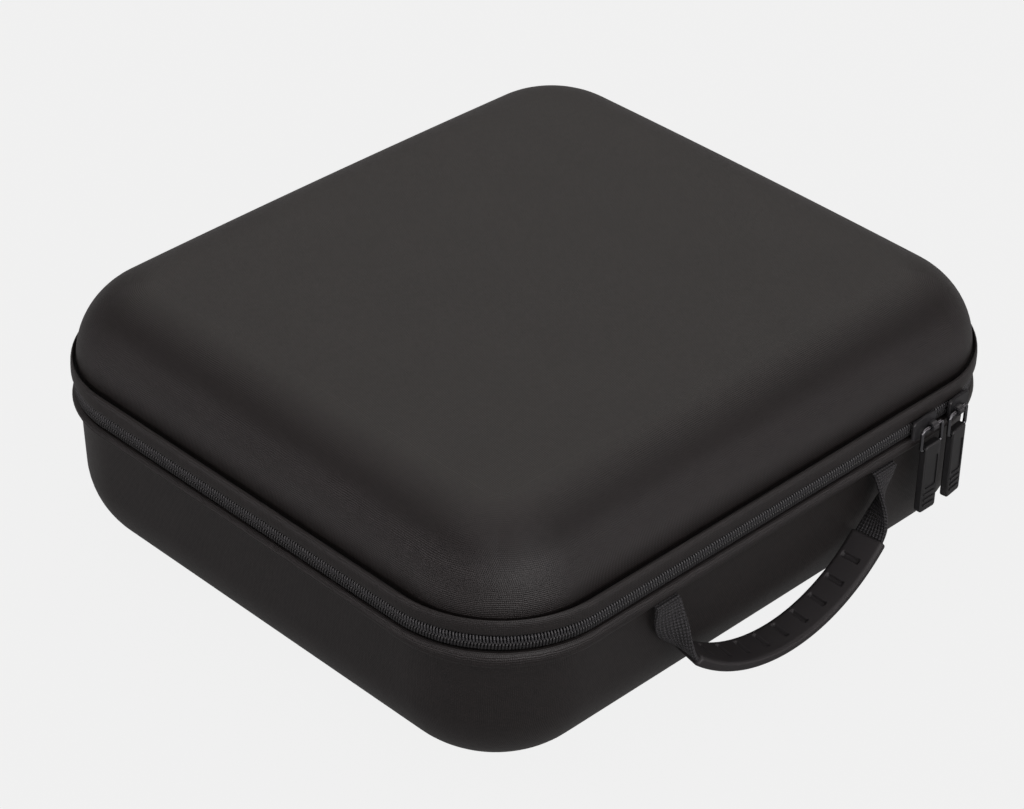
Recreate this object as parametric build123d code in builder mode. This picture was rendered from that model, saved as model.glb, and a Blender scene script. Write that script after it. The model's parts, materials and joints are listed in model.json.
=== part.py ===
"""Hard-shell zip case for a portable game console.

Two thermoformed shells close on a coil zip that runs round a moulded rim.  A webbing handle with a
ribbed grip hangs from the front seam, two sliders with soft pull tabs sit at the front right corner,
a fabric gusset hinges the lid at the back, and a foam tray and a net pocket lie inside.

Millimetres.  The origin is the middle of the underside, +Z is up and the handle faces -Y.
"""

import os
from math import asin, cos, degrees, radians, sin, sqrt

from build123d import *

os.makedirs("parts", exist_ok=True)

# Rim: the widest line of the case, where the two shells meet at the zip
rim_width = 300.0
rim_depth = 270.0
rim_corner = 52.0
zip_height = 72.0

# Shells: laminate of woven polyester, EVA foam and lining
wall = 4.0
lid_rise = 44.0
lid_inset = 4.5
lid_corner = 42.0
lid_edge_round = 32.0
crown_radius = 6000.0
base_inset = 3.5
base_corner = 47.0
base_draft = 2.5
base_edge_round = 36.0

# Lips: rolled edges of the shells, above and below the zip
lip_gap = 8.2
lip_wall = 3.2
flange = 3.0
lid_lip_height = 6.4
lid_lip_round = 4.0
base_lip_height = 6.0
base_lip_round = 1.0
stitch_groove = 1.1

# Zip chain, 6 mm over both coils, sewn to a woven tape
coil_width = 2.55
coil_gap = 0.9
coil_thickness = 2.4
coil_round = 0.8
tape_thickness = 0.8
tape_overlap = 2.8
binding_width = 2.0
binding_thickness = 1.0
hinge_width = 156.0
hinge_seam = 0.5
stop_length = 4.0
stop_round = 0.4

# Sliders, and where they rest: the left one beside the handle, the right one further along the rim
slider_length = 14.0
slider_shoulder = 10.0
slider_tail = 8.0
slider_plate = 1.2
slider_round = 1.6
slider_flange = 0.5
flange_clearance = 0.3
plate_bevel = 0.4
slider_clearance = 0.5
neck_length = 3.0
neck_thickness = 0.5
slider_past_strap = 15.5
slider_spacing = 21.4
back_plate_width = 8.8
back_plate_clearance = 0.8

# Lug on the slider, and the wire loop that hangs in it
lug_width = 3.0
lug_wall = 1.0
lug_floor = 0.4
lug_offset = 3.0
wire = 1.6
wire_clearance = 0.2
loop_drop = 9.6
loop_corner = 1.8

# Pull tab, soft plastic, moulded with a bare panel and three grip ridges
tab_width = 9.6
tab_length = 32.0
tab_thickness = 3.5
tab_round = 0.8
tab_corner = 1.5
tab_side_gap = 0.5
tab_bore_edge = 2.0
panel_width = 6.6
panel_length = 15.0
panel_depth = 0.4
panel_top = 6.0
panel_corner = 1.2
ridge_count = 3
ridge_pitch = 2.6
ridge_width = 1.1
ridge_height = 0.4
ridge_foot = 3.2

# Handle: a webbing strap sewn under the lower lip, hanging down from the front
handle_hang = 84.0
strap_spacing = 123.0
strap_width = 12.0
strap_thickness = 1.8
strap_root_gap = 0.3
grip_chord = 104.0
grip_drop = 26.0
grip_sag = 20.0
grip_width = 15.0
grip_thickness = 4.6
grip_round = 1.8
grip_tilt = 13.0
grip_end_round = 1.0
slot_clearance = 0.2
groove_count = 9
groove_pitch = 8.4
groove_width = 1.8
groove_length = 7.0
groove_depth = 0.8
groove_shift = 1.2
tail_sections = 5

# Foam tray: recesses for a console, a charger and two controllers
tray_clearance = 0.4
tray_below_lip = 1.5
tray_edge_round = 1.5
tray_margin = 20.0
console_width = 104.0
console_recess = 34.0
notch_radius = 9.0
notch_depth = 22.0
box_recess = 42.0
charger_length = 104.0
charger_width = 96.0
recess_corner = 10.0
recess_web = 12.0

# Net pocket in the lid
net_thickness = 1.0
net_clearance = 0.3
net_above_flange = 1.0
net_reach = 160.0
net_bow = 14.0
hem_width = 5.0
hem_thickness = 2.0
hem_round = 0.8

# Sizes that follow from those above; a form is a width, a depth and a corner radius
rim_form = (rim_width, rim_depth, rim_corner)
lid_form = (rim_width - 2 * lid_inset, rim_depth - 2 * lid_inset, lid_corner)
base_form = (rim_width - 2 * base_inset, rim_depth - 2 * base_inset, base_corner)
lid_lip_foot = zip_height + lip_gap / 2
lid_lip_top = lid_lip_foot + lid_lip_height
lid_flange_foot = lid_lip_top - flange
lid_top = zip_height + lid_rise
base_lip_top = zip_height - lip_gap / 2
base_lip_foot = base_lip_top - base_lip_height
base_flange_top = base_lip_foot + flange
tape_face = lip_wall
tape_back = tape_face + tape_thickness
binding_back = tape_back + binding_thickness
coil_face = tape_face - coil_thickness
coil_edge = coil_gap / 2 + coil_width
tape_edge = lip_gap / 2 + tape_overlap


def inset_outline(form, inset, mode=Mode.ADD):
    """Rounded rectangle of a form (width, depth, corner), drawn in from its edge, inside a sketch."""
    width, depth, corner = form
    return RectangleRounded(width - 2 * inset, depth - 2 * inset, corner - inset, mode=mode)


def rim_ring(front, back, low, high, edge_round=0.0):
    """Band that follows the rim, between two depths behind its face and two heights from the zip."""
    with BuildPart() as ring:
        with BuildSketch(Plane.XY.offset(zip_height + low)):
            inset_outline(rim_form, front)
            inset_outline(rim_form, back, Mode.SUBTRACT)
        extrude(amount=high - low)
        if edge_round > 0:
            fillet(ring.faces().filter_by(Axis.Z).edges(), edge_round)
    return ring.part


def back_gap(width):
    """Block that takes the hinge's stretch out of a band along the rim."""
    with BuildPart() as gap:
        with Locations((0, rim_depth / 2, zip_height)):
            Box(width, 2 * rim_corner, 2 * (tape_edge + tape_overlap))
    return gap.part


def lid_block(inset):
    """Body of the lid, inset from its outer skin: straight sides, crowned top and a rounded edge."""
    with BuildPart() as block:
        with BuildSketch(Plane.XY.offset(lid_lip_foot)):
            inset_outline(lid_form, inset)
        extrude(amount=lid_rise)
        with Locations((0, 0, lid_top - crown_radius)):
            Sphere(crown_radius - inset, rotation=(90, 0, 0), mode=Mode.INTERSECT)
        fillet(block.faces().filter_by(GeomType.SPHERE).edges(), lid_edge_round - inset)
    return block.part


def base_block(inset):
    """Body of the base, inset from its outer skin: drafted sides and a rounded bottom edge."""
    with BuildPart() as block:
        with BuildSketch(Plane.XY.offset(base_flange_top)):
            inset_outline(base_form, inset)
        extrude(amount=inset - base_flange_top, taper=base_draft)
        fillet(block.faces().sort_by(Axis.Z)[0].edges(), base_edge_round - inset)
    return block.part


# Lid shell
lid_outer = lid_block(0.0)
lid_inner = lid_block(wall)
with BuildPart() as lid_shell:
    with BuildSketch(Plane.XY.offset(lid_lip_foot)):
        inset_outline(rim_form, 0.0)
    extrude(amount=lid_lip_height)
    fillet(lid_shell.edges().group_by(Axis.Z)[-1], lid_lip_round)
    add(lid_outer)
    with BuildSketch(Plane.XY.offset(lid_lip_top - stitch_groove)):
        inset_outline(lid_form, -stitch_groove)
        inset_outline(lid_form, stitch_groove / 2, Mode.SUBTRACT)
    extrude(amount=2 * stitch_groove, mode=Mode.SUBTRACT)
    with BuildSketch(Plane.XY.offset(lid_lip_foot)):
        inset_outline(rim_form, lip_wall)
    extrude(amount=lid_flange_foot - lid_lip_foot, mode=Mode.SUBTRACT)
    add(lid_inner, mode=Mode.SUBTRACT)
lid_shell.part.label = "lid_shell"
export_step(lid_shell.part, "parts/lid_shell.step")

# Base shell
base_outer = base_block(0.0)
base_inner = base_block(wall)
with BuildPart() as base_shell:
    with BuildSketch(Plane.XY.offset(base_lip_foot)):
        inset_outline(rim_form, 0.0)
    extrude(amount=base_lip_height)
    fillet(base_shell.edges().group_by(Axis.Z)[0], base_lip_round)
    add(base_outer)
    with BuildSketch(Plane.XY.offset(base_lip_top)):
        inset_outline(rim_form, lip_wall)
    extrude(amount=base_flange_top - base_lip_top, mode=Mode.SUBTRACT)
    add(base_inner, mode=Mode.SUBTRACT)
base_shell.part.label = "base_shell"
export_step(base_shell.part, "parts/base_shell.step")

# Zip tapes and coils, one of each on each shell, open at the back where the hinge is
tape_cut = hinge_width + 2 * hinge_seam
coil_cut = tape_cut + 2 * stop_length
zip_bands = {
    "lid_zip_tape": (tape_face, tape_back, coil_gap / 2, tape_edge, 0.0, tape_cut),
    "base_zip_tape": (tape_face, tape_back, -tape_edge, -coil_gap / 2, 0.0, tape_cut),
    "lid_zip_coil": (coil_face, tape_face, coil_gap / 2, coil_edge, coil_round, coil_cut),
    "base_zip_coil": (coil_face, tape_face, -coil_edge, -coil_gap / 2, coil_round, coil_cut),
}
for node, (front, back, low, high, edge_round, cut) in zip_bands.items():
    ring = rim_ring(front, back, low, high, edge_round)
    hinge_stretch = back_gap(cut)
    with BuildPart() as zip_band:
        add(ring)
        add(hinge_stretch, mode=Mode.SUBTRACT)
    zip_band.part.label = node
    export_step(zip_band.part, f"parts/{node}.step")

# Seam bindings, all the way round the inside of both lips
seam_bindings = {
    "lid_seam_binding": (tape_edge - binding_width, tape_edge),
    "base_seam_binding": (-tape_edge, binding_width - tape_edge),
}
for node, (low, high) in seam_bindings.items():
    ring = rim_ring(tape_back, binding_back, low, high)
    with BuildPart() as seam_binding:
        add(ring)
    seam_binding.part.label = node
    export_step(seam_binding.part, f"parts/{node}.step")

# Fabric gusset that hinges the lid
with BuildPart() as hinge_tape:
    with Locations((0, rim_depth / 2 - (tape_face + tape_back) / 2, zip_height)):
        Box(hinge_width, tape_thickness, 2 * tape_edge)
hinge_tape.part.label = "hinge_tape"
export_step(hinge_tape.part, "parts/hinge_tape.step")

# End stops on the base's coil, one on each side of the gusset
stop_x = (tape_cut + stop_length) / 2
stop_places = [(side * stop_x, rim_depth / 2 - (coil_face + tape_face) / 2) for side in (-1, 1)]
with BuildPart() as zip_end_stops:
    with BuildSketch(Plane.XY.offset(zip_height - coil_edge)):
        with Locations(stop_places):
            Rectangle(stop_length, coil_thickness)
    extrude(amount=coil_width)
    fillet(zip_end_stops.edges().filter_by(Axis.X), stop_round)
zip_end_stops.part.label = "zip_end_stops"
export_step(zip_end_stops.part, "parts/zip_end_stops.step")

# Where the sliders rest, as runs along the front from its middle and then round the corner
corner_x = rim_width / 2 - rim_corner
corner_y = rim_corner - rim_depth / 2
left_run = (strap_spacing + strap_width) / 2 + slider_past_strap
right_run = left_run + slider_spacing


def rim_station(run):
    """Plane on the rim's face at a run from the middle of the front: x along the chain, y up, z out."""
    turn = max(run - corner_x, 0) / rim_corner
    return Plane(
        origin=(
            min(run, corner_x) + rim_corner * sin(turn),
            corner_y - rim_corner * cos(turn),
            zip_height,
        ),
        x_dir=(cos(turn), sin(turn), 0),
        z_dir=(sin(turn), -cos(turn), 0),
    )


# Heights over the rim's face, and the two edges that the slider's flanges run between
plate_face = slider_clearance + slider_plate
back_plate_face = -(tape_back + back_plate_clearance)
bore_radius = wire / 2 + wire_clearance
lug_radius = bore_radius + lug_wall
bore_height = plate_face + bore_radius + lug_floor
flange_outer = lip_gap / 2 - flange_clearance
flange_inner = coil_edge + flange_clearance
flange_middle = (flange_outer + flange_inner) / 2


def slider_body(station, heading):
    """Slider on the chain, its shoulder heading along the station's x (1) or against it (-1)."""
    outwards = Axis(station.origin, station.z_dir)
    tail_x = -heading * slider_length / 2
    shoulder_x = heading * slider_length / 2
    with BuildPart() as body:
        with BuildSketch(station.offset(slider_clearance)):
            with BuildLine():
                Polyline(
                    (tail_x, -slider_tail / 2),
                    (0, -slider_shoulder / 2),
                    (shoulder_x, -slider_shoulder / 2),
                    (shoulder_x, slider_shoulder / 2),
                    (0, slider_shoulder / 2),
                    (tail_x, slider_tail / 2),
                    close=True,
                )
            plate = make_face()
            fillet(plate.vertices(), slider_round)
        extrude(amount=slider_plate)
        chamfer(body.faces().sort_by(outwards)[-1].edges(), plate_bevel)
        with BuildSketch(station.offset(-slider_flange)):
            with Locations((tail_x / 2, flange_middle), (tail_x / 2, -flange_middle)):
                Rectangle(slider_length / 2 - 2 * slider_round, flange_outer - flange_inner)
        extrude(amount=slider_flange + slider_clearance)
        with BuildSketch(station.offset(back_plate_face - slider_plate)):
            RectangleRounded(slider_length, back_plate_width, slider_round)
        extrude(amount=slider_plate)
        with BuildSketch(station.offset(back_plate_face)):
            with Locations((shoulder_x - heading * (slider_round + neck_length / 2), 0)):
                Rectangle(neck_length, neck_thickness)
        extrude(amount=slider_clearance - back_plate_face)
        lug_plane = Plane(
            origin=station.from_local_coords((heading * lug_offset - lug_width / 2, 0, plate_face)),
            x_dir=station.y_dir,
            z_dir=station.x_dir,
        )
        with BuildSketch(lug_plane):
            with Locations((0, bore_height - plate_face)):
                Circle(lug_radius)
            with Locations((0, (bore_height - plate_face) / 2)):
                Rectangle(2 * lug_radius, bore_height - plate_face)
            with Locations((0, bore_height - plate_face)):
                Circle(bore_radius, mode=Mode.SUBTRACT)
        extrude(amount=lug_width)
    return body.part


def pull_loop(station, heading):
    """Wire loop whose upper bar hangs in the slider's lug and whose lower bar carries the tab."""
    loop_plane = station.offset(bore_height)
    middle = heading * lug_offset
    half_width = tab_width / 2 + tab_side_gap + wire / 2
    with BuildPart() as loop:
        with BuildLine(loop_plane) as path:
            FilletPolyline(
                (middle + half_width, 0),
                (middle + half_width, -loop_drop),
                (middle - half_width, -loop_drop),
                (middle - half_width, 0),
                radius=loop_corner,
                close=True,
            )
        with BuildSketch(Plane(origin=path.line @ 0, z_dir=path.line % 0)):
            Circle(wire / 2)
        sweep()
    return loop.part


def pull_tab(station, heading):
    """Soft tab on the loop's lower bar, with a bare panel and grip ridges on its face."""
    outwards = Axis(station.origin, station.z_dir)
    middle = heading * lug_offset
    tab_top = tab_bore_edge - loop_drop
    tab_foot = tab_top - tab_length
    tab_face = bore_height + tab_thickness / 2
    with BuildPart() as tab:
        with BuildSketch(station.offset(bore_height - tab_thickness / 2)):
            with Locations((middle, tab_top - tab_length / 2)):
                RectangleRounded(tab_width, tab_length, tab_corner)
        extrude(amount=tab_thickness)
        fillet(tab.faces().filter_by(outwards).edges(), tab_round)
        with BuildSketch(station.offset(tab_face - panel_depth)):
            with Locations((middle, tab_top - panel_top - panel_length / 2)):
                RectangleRounded(panel_width, panel_length, panel_corner)
        extrude(amount=panel_depth, mode=Mode.SUBTRACT)
        with BuildSketch(station.offset(tab_face)):
            with Locations((middle, tab_foot + ridge_foot + (ridge_count - 1) * ridge_pitch / 2)):
                with GridLocations(0, ridge_pitch, 1, ridge_count):
                    SlotOverall(panel_width, ridge_width)
        extrude(amount=ridge_height)
        bore_plane = Plane(
            origin=station.from_local_coords((middle - tab_width / 2, -loop_drop, bore_height)),
            x_dir=station.y_dir,
            z_dir=station.x_dir,
        )
        with BuildSketch(bore_plane):
            Circle(bore_radius)
        extrude(amount=tab_width, mode=Mode.SUBTRACT)
    return tab.part


# Sliders, loops and tabs; the two sliders stand head to head
for side, run, heading in (("left", left_run, 1), ("right", right_run, -1)):
    station = rim_station(run)
    pieces = {
        f"{side}_slider": slider_body(station, heading),
        f"{side}_pull_loop": pull_loop(station, heading),
        f"{side}_pull_tab": pull_tab(station, heading),
    }
    for node, piece in pieces.items():
        piece.label = node
        export_step(piece, f"parts/{node}.step")

# Handle plane: x along the front, y up towards the seam, z out of the handle's face
hang = radians(handle_hang)
root_offset = (base_lip_round + strap_root_gap + strap_thickness / 2) / sqrt(2)
handle_root = (0, base_lip_round - root_offset - rim_depth / 2, base_lip_foot + base_lip_round - root_offset)
handle_plane = Plane(origin=handle_root, x_dir=(1, 0, 0), z_dir=(0, -sin(hang), cos(hang)))
grip_radius = (grip_chord**2 / 4 + grip_sag**2) / (2 * grip_sag)
grip_half_angle = degrees(asin(grip_chord / 2 / grip_radius))
arc_height = grip_radius - grip_drop - grip_sag
grip_axis = Axis(handle_plane.from_local_coords((0, arc_height, 0)), handle_plane.z_dir)


def handle_vector(x, y, z):
    """Direction given in the handle's plane, turned into the case's frame."""
    return handle_plane.x_dir * x + handle_plane.y_dir * y + handle_plane.z_dir * z


def grip_section(angle):
    """Plane across the grip at an angle along its arc: x over its width, y outwards, z along it."""
    turn = radians(angle)
    tilt = radians(grip_tilt)
    point = (grip_radius * sin(turn), arc_height - grip_radius * cos(turn), 0)
    return Plane(
        origin=handle_plane.from_local_coords(point),
        x_dir=handle_vector(sin(tilt) * sin(turn), -sin(tilt) * cos(turn), cos(tilt)),
        z_dir=handle_vector(cos(turn), sin(turn), 0),
    )


def tail_section(side, share):
    """Plane across a strap's tail, from the end of the grip (share 0) to its root (share 1)."""
    turn = radians(side * grip_half_angle)
    start = Vector(side * grip_chord / 2, -grip_drop, 0)
    end = Vector(side * strap_spacing / 2, 0, 0)
    leave = Vector(side * cos(turn), side * sin(turn), 0) * grip_drop
    arrive = Vector(0, grip_drop, 0)
    point = (
        start * (2 * share**3 - 3 * share**2 + 1)
        + leave * (share**3 - 2 * share**2 + share)
        + end * (3 * share**2 - 2 * share**3)
        + arrive * (share**3 - share**2)
    )
    along = (
        start * (6 * share**2 - 6 * share)
        + leave * (3 * share**2 - 4 * share + 1)
        + end * (6 * share - 6 * share**2)
        + arrive * (3 * share**2 - 2 * share)
    ).normalized()
    tilt = radians(grip_tilt)
    grip_side = Vector(sin(tilt) * sin(turn), -sin(tilt) * cos(turn), cos(tilt))
    across = grip_side * cos(radians(90 * share)) + Vector(-side, 0, 0) * sin(radians(90 * share))
    across = across - along * across.dot(along)
    return Plane(
        origin=handle_plane.from_local_coords(point),
        x_dir=handle_vector(across.X, across.Y, across.Z),
        z_dir=handle_vector(along.X, along.Y, along.Z),
    )


# Webbing strap: through the grip in an arc, then a twisted tail up to each root
with BuildPart() as handle_strap:
    with BuildSketch(grip_section(-grip_half_angle)):
        Rectangle(strap_width, strap_thickness)
    revolve(axis=grip_axis, revolution_arc=2 * grip_half_angle)
    for side in (-1, 1):
        for step in range(tail_sections):
            with BuildSketch(tail_section(side, step / (tail_sections - 1))):
                Rectangle(strap_width, strap_thickness)
        loft(ruled=True)
        root_plane = Plane(
            origin=handle_plane.from_local_coords((side * strap_spacing / 2 - strap_width / 2, 0, 0)),
            x_dir=handle_plane.z_dir,
            z_dir=handle_plane.x_dir,
        )
        with BuildSketch(root_plane):
            with BuildLine():
                rolled_end = CenterArc((0, 0), strap_thickness / 2, 180, 180)
                Line(rolled_end @ 1, rolled_end @ 0)
            make_face()
        extrude(amount=strap_width)
handle_strap.part.label = "handle_strap"
export_step(handle_strap.part, "parts/handle_strap.step")

# Moulded grip: an arched band, slotted for the strap, with grooves on its inner face
groove_angles = [(index - (groove_count - 1) / 2) * groove_pitch for index in range(groove_count)]
with BuildPart() as handle_grip:
    with BuildSketch(grip_section(-grip_half_angle)):
        RectangleRounded(grip_width, grip_thickness, grip_round)
    revolve(axis=grip_axis, revolution_arc=2 * grip_half_angle)
    grip_ends = handle_grip.faces().filter_by(GeomType.PLANE)
    fillet(grip_ends.edges(), grip_end_round)
    with BuildSketch(grip_section(-grip_half_angle)):
        Rectangle(strap_width + 2 * slot_clearance, strap_thickness + 2 * slot_clearance)
    revolve(axis=grip_axis, revolution_arc=2 * grip_half_angle, mode=Mode.SUBTRACT)
    for angle in groove_angles:
        with BuildSketch(grip_section(angle).offset(-groove_width / 2)):
            with Locations((-groove_shift, -grip_thickness / 2)):
                Rectangle(groove_length, 2 * groove_depth)
        extrude(amount=groove_width, mode=Mode.SUBTRACT)
handle_grip.part.label = "handle_grip"
export_step(handle_grip.part, "parts/handle_grip.step")

# Foam tray: fills the base up to the lip, with a console's recess behind and three in front
tray_top = base_lip_foot - tray_below_lip
tray_inset = wall + tray_clearance
console_length = base_form[0] - 2 * (tray_inset + tray_margin)
console_y = base_form[1] / 2 - tray_inset - tray_margin - console_width / 2
front_width = (console_length - charger_length - 2 * recess_web) / 2
front_y = console_y - console_width / 2 - recess_web - charger_width / 2
charger_x = (charger_length - console_length) / 2
first_controller_x = charger_x + charger_length / 2 + recess_web + front_width / 2
second_controller_x = first_controller_x + front_width + recess_web
tray_block = base_block(tray_inset)
with BuildPart() as foam_tray:
    add(tray_block)
    split(bisect_by=Plane.XY.offset(tray_top), keep=Keep.BOTTOM)
    with BuildSketch(Plane.XY.offset(tray_top)):
        with Locations((0, console_y)):
            RectangleRounded(console_length, console_width, recess_corner)
    extrude(amount=-console_recess, mode=Mode.SUBTRACT)
    with BuildSketch(Plane.XY.offset(tray_top)):
        with Locations((charger_x, front_y)):
            RectangleRounded(charger_length, charger_width, recess_corner)
        with Locations((first_controller_x, front_y), (second_controller_x, front_y)):
            RectangleRounded(front_width, charger_width, recess_corner)
    extrude(amount=-box_recess, mode=Mode.SUBTRACT)
    fillet(foam_tray.faces().filter_by(Axis.Z).sort_by(Axis.Z)[-1].edges(), tray_edge_round)
    with BuildSketch(Plane.XY.offset(tray_top)):
        with Locations((0, console_y + console_width / 2), (0, console_y - console_width / 2)):
            Circle(notch_radius)
    extrude(amount=-notch_depth, mode=Mode.SUBTRACT)
foam_tray.part.label = "foam_tray"
export_step(foam_tray.part, "parts/foam_tray.step")

# Net pocket: sewn to the back and sides of the lid, its front edge bowed and hemmed with elastic
net_foot = lid_flange_foot + net_above_flange
net_inset = wall + net_clearance
net_width = lid_form[0] - 2 * net_inset
net_back = lid_form[1] / 2 - net_inset
net_front = net_back - net_reach
with BuildPart() as mesh_pocket:
    with BuildSketch(Plane.XY.offset(net_foot)):
        inset_outline(lid_form, net_inset)
        with BuildLine():
            hem_line = ThreePointArc(
                (-net_width, net_front), (0, net_front + net_bow), (net_width, net_front)
            )
            Polyline(hem_line @ 1, (net_width, -rim_depth), (-net_width, -rim_depth), hem_line @ 0)
        make_face(mode=Mode.SUBTRACT)
    extrude(amount=net_thickness)
mesh_pocket.part.label = "mesh_pocket"
export_step(mesh_pocket.part, "parts/mesh_pocket.step")

# Elastic hem along the pocket's bowed edge
with BuildPart() as pocket_hem:
    with BuildSketch(Plane.XY.offset(net_foot + (net_thickness - hem_thickness) / 2)):
        inset_outline(lid_form, net_inset)
        with BuildLine():
            back_edge = ThreePointArc(
                (-net_width, net_front), (0, net_front + net_bow), (net_width, net_front)
            )
            front_edge = ThreePointArc(
                (-net_width, net_front - hem_width),
                (0, net_front + net_bow - hem_width),
                (net_width, net_front - hem_width),
            )
            Line(back_edge @ 0, front_edge @ 0)
            Line(back_edge @ 1, front_edge @ 1)
        make_face(mode=Mode.INTERSECT)
    extrude(amount=hem_thickness)
    fillet(pocket_hem.faces().filter_by(Axis.Z).edges().filter_by(GeomType.CIRCLE), hem_round)
pocket_hem.part.label = "pocket_hem"
export_step(pocket_hem.part, "parts/pocket_hem.step")
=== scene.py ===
# %% [markdown]
# # A hard-shell zip case, dressed in Blender
# The CAD model gives the frame: where each piece is and how it moves.  This script dresses that
# frame.  Soft pieces get meshes of their own, hard ones keep the CAD mesh, and every surface gets a
# material built from nodes.  Everything is in metres, in the frame of the CAD model.

# %% Load the frame
import json
from math import asin, cos, pi, radians, sin, sqrt, tau

import bpy
import numpy as np
from mathutils import Matrix, Vector


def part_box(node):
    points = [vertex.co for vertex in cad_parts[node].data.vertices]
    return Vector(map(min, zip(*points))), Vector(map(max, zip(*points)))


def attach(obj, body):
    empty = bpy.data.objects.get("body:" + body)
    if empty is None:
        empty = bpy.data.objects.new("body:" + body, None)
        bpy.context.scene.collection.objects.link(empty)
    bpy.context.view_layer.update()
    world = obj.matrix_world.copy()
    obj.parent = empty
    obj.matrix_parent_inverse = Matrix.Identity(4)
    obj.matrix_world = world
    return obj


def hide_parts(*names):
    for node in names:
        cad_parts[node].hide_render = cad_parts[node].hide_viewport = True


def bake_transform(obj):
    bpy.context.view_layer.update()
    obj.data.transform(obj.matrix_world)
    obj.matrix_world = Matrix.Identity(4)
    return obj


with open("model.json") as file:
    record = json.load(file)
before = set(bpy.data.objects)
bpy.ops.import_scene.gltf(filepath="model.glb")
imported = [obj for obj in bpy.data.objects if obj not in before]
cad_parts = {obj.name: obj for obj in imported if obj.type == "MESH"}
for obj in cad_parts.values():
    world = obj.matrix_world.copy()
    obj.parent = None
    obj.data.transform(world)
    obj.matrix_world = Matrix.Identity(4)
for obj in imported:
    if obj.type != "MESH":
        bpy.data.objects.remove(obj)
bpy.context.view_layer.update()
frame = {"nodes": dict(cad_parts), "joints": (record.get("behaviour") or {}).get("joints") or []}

# %% [markdown]
# ## Sizes
# A case like this is drawn round one line, the rim, where the two shells meet at the zip.  The rim's
# width, its depth and the zip's height are read from the CAD boxes, so the dressing follows the frame.
# Radii can't be read from a box, so they are written here as they are in the CAD source.

# %% Sizes from the frame, and the radii that go with them
MM = 0.001
rim_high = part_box("base_shell")[1]
lid_low, lid_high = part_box("lid_shell")
coil_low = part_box("base_zip_coil")
coil_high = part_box("lid_zip_coil")
half_width = rim_high.x
half_depth = rim_high.y
zip_height = (coil_low[1].z + coil_high[0].z) / 2
lid_top = lid_high.z
lid_lip_foot = lid_low.z
base_lip_top = rim_high.z
wall = 4 * MM
lip_wall = 3.2 * MM
rim_form = (half_width, half_depth, 52 * MM)
lid_inset = 4.5 * MM
lid_form = (half_width - lid_inset, half_depth - lid_inset, 42 * MM)
lid_edge_round = 32 * MM
crown_radius = 6.0
base_inset = 3.5 * MM
base_form = (half_width - base_inset, half_depth - base_inset, 47 * MM)
base_edge_round = 36 * MM
base_draft = radians(2.5)
print(f"rim {2000 * half_width:.0f} x {2000 * half_depth:.0f} mm, zip at {1000 * zip_height:.1f} mm")

# %% [markdown]
# ## Camera
# The photograph looks down on the case's front left corner through a long lens.  The angle, the
# distance and the focal length were found by fitting the outline of the lid and the base.

# %% Camera at the photograph's angle
image_width = 1024
camera_azimuth, camera_elevation, camera_roll = radians(-45.5), radians(34.42), radians(1.48)
camera_distance = 1.325
focal_pixels = 3323
aim_right, aim_up = -5.5 * MM, -16.1 * MM

backwards = Vector((
    sin(camera_azimuth) * cos(camera_elevation),
    -cos(camera_azimuth) * cos(camera_elevation),
    sin(camera_elevation),
))
right = Vector((cos(camera_azimuth), sin(camera_azimuth), 0))
up = backwards.cross(right)
place = Vector((0, 0, zip_height)) + backwards * camera_distance + right * aim_right + up * aim_up
rolled_right = right * cos(camera_roll) + up * sin(camera_roll)
rolled_up = up * cos(camera_roll) - right * sin(camera_roll)

camera_data = bpy.data.cameras.new("camera")
camera_data.sensor_width = 36
camera_data.lens = focal_pixels / image_width * camera_data.sensor_width
camera = bpy.data.objects.new("camera", camera_data)
bpy.context.scene.collection.objects.link(camera)
camera.matrix_world = Matrix((
    (rolled_right.x, rolled_up.x, backwards.x, place.x),
    (rolled_right.y, rolled_up.y, backwards.y, place.y),
    (rolled_right.z, rolled_up.z, backwards.z, place.z),
    (0, 0, 0, 1),
))
bpy.context.scene.camera = camera
bpy.context.scene.view_settings.view_transform = "Standard"
print(f"camera {camera_distance:.2f} m away, lens {camera_data.lens:.0f} mm")

# %% [markdown]
# ## Nodes and colours
# Two helpers carry every material.  One turns an sRGB hex value into the linear colour that Blender
# works in.  The other adds a node, sets its options, fills or links its inputs, and returns it.


# %% Helpers for materials
def linear(hex_value):
    """Linear RGBA from an sRGB hex value such as '#2b2b2c'."""
    channels = [int(hex_value[i:i + 2], 16) / 255 for i in (1, 3, 5)]
    return [c / 12.92 if c <= 0.04045 else ((c + 0.055) / 1.055) ** 2.4 for c in channels] + [1]


def node(tree, kind, inputs=(), **settings):
    """Adds a node; each input is a name or index with a value, or with another node's output."""
    made = tree.nodes.new(kind)
    for name, value in settings.items():
        setattr(made, name, value)
    for name, value in dict(inputs).items():
        if isinstance(value, bpy.types.NodeSocket):
            tree.links.new(value, made.inputs[name])
        else:
            made.inputs[name].default_value = value
    return made


def new_material(name):
    """An empty material with its output, ready for a shader."""
    material = bpy.data.materials.new(name)
    material.use_nodes = True
    material.node_tree.nodes.clear()
    return material, material.node_tree


def finish_material(tree, shader):
    """Links a shader to the material's output."""
    node(tree, "ShaderNodeOutputMaterial", {"Surface": shader.outputs[0]})


print("helpers ready")

# %% [markdown]
# ## Floor
# The photograph is a cut-out on white, without a shadow.  A floor that glows for the camera comes near
# to that: it is almost white, and the glow leaves next to nothing of the case's shadow.  With no floor
# at all, the room's light would reach the case from below.  For the light the floor is plain matt grey.
# Mirrored rays see a small part of the glow, because black cloth seen at a low angle mirrors its floor,
# and the walls have to stay dark.

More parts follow.
